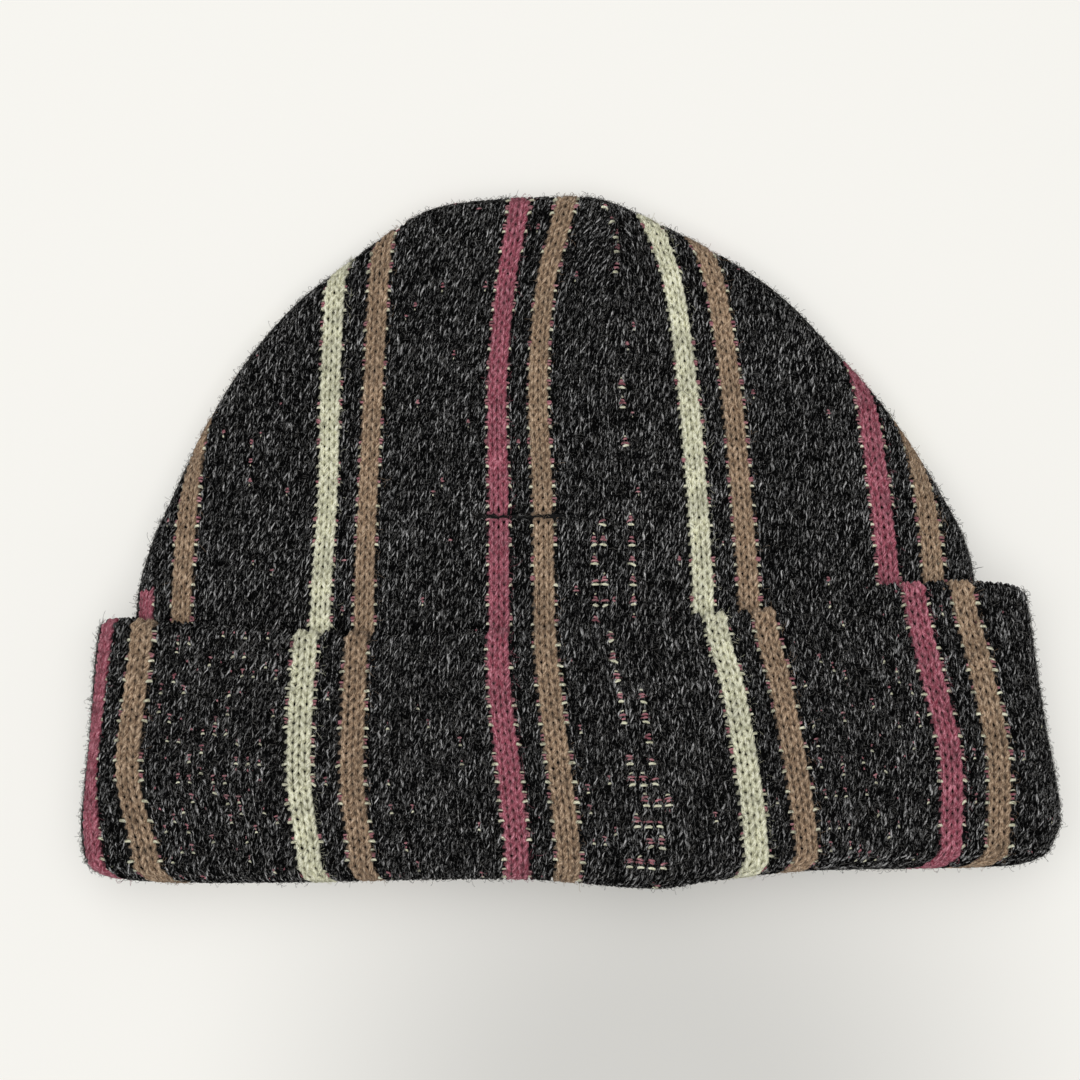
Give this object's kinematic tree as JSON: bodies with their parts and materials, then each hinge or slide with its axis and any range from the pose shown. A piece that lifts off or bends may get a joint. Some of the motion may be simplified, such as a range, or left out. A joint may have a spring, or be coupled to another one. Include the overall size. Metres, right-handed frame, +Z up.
{
  "type": "knit beanie",
  "caption": "Double-layer striped knit beanie with a turned-up cuff and a dart-shaped crown, lying flat on its back.",
  "frame": {"origin": "bottom centre of the hat's box as it lies flat on its back", "axes": "+X across the hat to its right as seen from the front, +Y from the cuff to the crown, +Z up out of the front"},
  "size_m": [0.2414, 0.1678, 0.026],
  "materials": {
    "shell_knit": "matte knitted wool blend, charcoal with cream, brown and pink stripes",
    "cuff_knit": "matte knitted wool blend, charcoal with cream, brown and pink stripes",
    "lining_knit": "matte knitted wool blend, charcoal with cream, brown and pink stripes",
    "sewing_thread": "matte spun thread, charcoal"
  },
  "bodies": {
    "shell": {"crown_tack": "sewing_thread", "lining_dart_seam_back": "sewing_thread", "lining_dart_seam_front": "sewing_thread", "lining_dart_seam_left": "sewing_thread", "lining_dart_seam_right": "sewing_thread", "lining_gore_back_left": "lining_knit", "lining_gore_back_right": "lining_knit", "lining_gore_front_left": "lining_knit", "lining_gore_front_right": "lining_knit", "outer_dart_seam_back": "sewing_thread", "outer_dart_seam_front": "sewing_thread", "outer_dart_seam_left": "sewing_thread", "outer_dart_seam_right": "sewing_thread", "outer_gore_back_left": "shell_knit", "outer_gore_back_right": "shell_knit", "outer_gore_front_left": "shell_knit", "outer_gore_front_right": "shell_knit"},
    "cuff": {"cuff_face_back": "cuff_knit", "cuff_face_front": "cuff_knit", "cuff_facing_back": "cuff_knit", "cuff_facing_front": "cuff_knit", "cuff_hem_back": "cuff_knit", "cuff_hem_front": "cuff_knit", "turn_up_lining_back": "cuff_knit", "turn_up_lining_front": "cuff_knit", "turn_up_shell_back": "cuff_knit", "turn_up_shell_front": "cuff_knit"}
  },
  "joints": [
    {"name": "cuff_slide", "type": "slide", "parent": "shell", "child": "cuff", "axis": [0, -1, 0], "range_m": [0, 0.06]}
  ]
}
